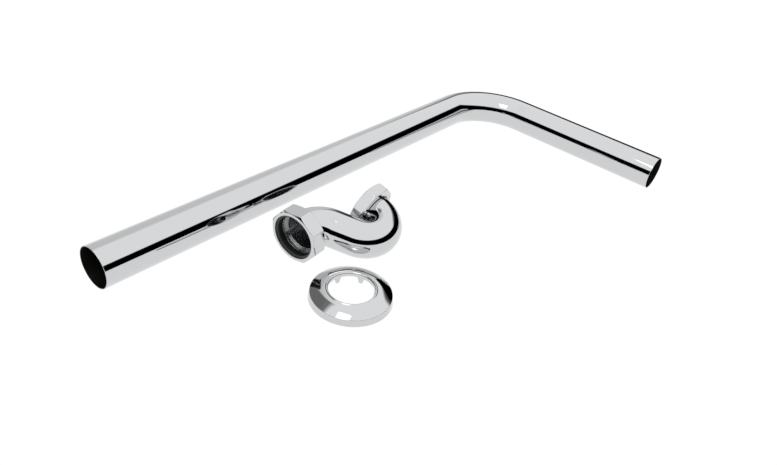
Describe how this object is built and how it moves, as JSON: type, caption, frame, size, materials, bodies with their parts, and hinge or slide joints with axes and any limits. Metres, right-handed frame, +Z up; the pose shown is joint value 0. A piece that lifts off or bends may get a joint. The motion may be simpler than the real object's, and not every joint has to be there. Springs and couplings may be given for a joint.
{
  "type": "bath trap",
  "caption": "Chromed bath trap laid out with its bent outlet pipe and wall flange; octagonal union and compression nuts at its mouths.",
  "frame": {"origin": "under the middle of the rectangle that the pipe spans, on the surface that everything lies on", "axes": "+X along the pipe's long leg towards its bend, +Y from the short leg's open end towards the long leg, +Z up"},
  "size_m": [0.603, 0.282, 0.0532],
  "materials": {
    "pipe_chrome": "polished chrome plate on brass tube",
    "trap_chrome": "polished chrome plate on bent brass tube",
    "nut_chrome": "polished chrome plate on turned brass",
    "flange_chrome": "polished chrome plate on pressed sheet",
    "ring_plastic": "dark grey moulded plastic",
    "seal_rubber": "black moulded rubber"
  },
  "bodies": {
    "trap_and_pipe": {"outlet_pipe": "pipe_chrome", "wall_flange": "flange_chrome", "trap_tube": "trap_chrome", "outlet_socket": "nut_chrome", "slip_ring": "ring_plastic", "outlet_seal": "seal_rubber", "inlet_collar": "nut_chrome", "inlet_washer": "seal_rubber"},
    "outlet_nut": {"outlet_nut": "nut_chrome"},
    "inlet_nut": {"inlet_nut": "nut_chrome"}
  },
  "joints": [
    {"name": "outlet_nut_turn", "type": "hinge", "parent": "trap_and_pipe", "child": "outlet_nut", "pos_m": [-0.14548, 0.04002, 0.02678], "axis": [0.9968, 0.0662, 0.0454], "continuous": true},
    {"name": "inlet_nut_turn", "type": "hinge", "parent": "trap_and_pipe", "child": "inlet_nut", "pos_m": [-0.06108, 0.02593, 0.02617], "axis": [-0.0746, 0.9731, 0.2179], "continuous": true}
  ]
}
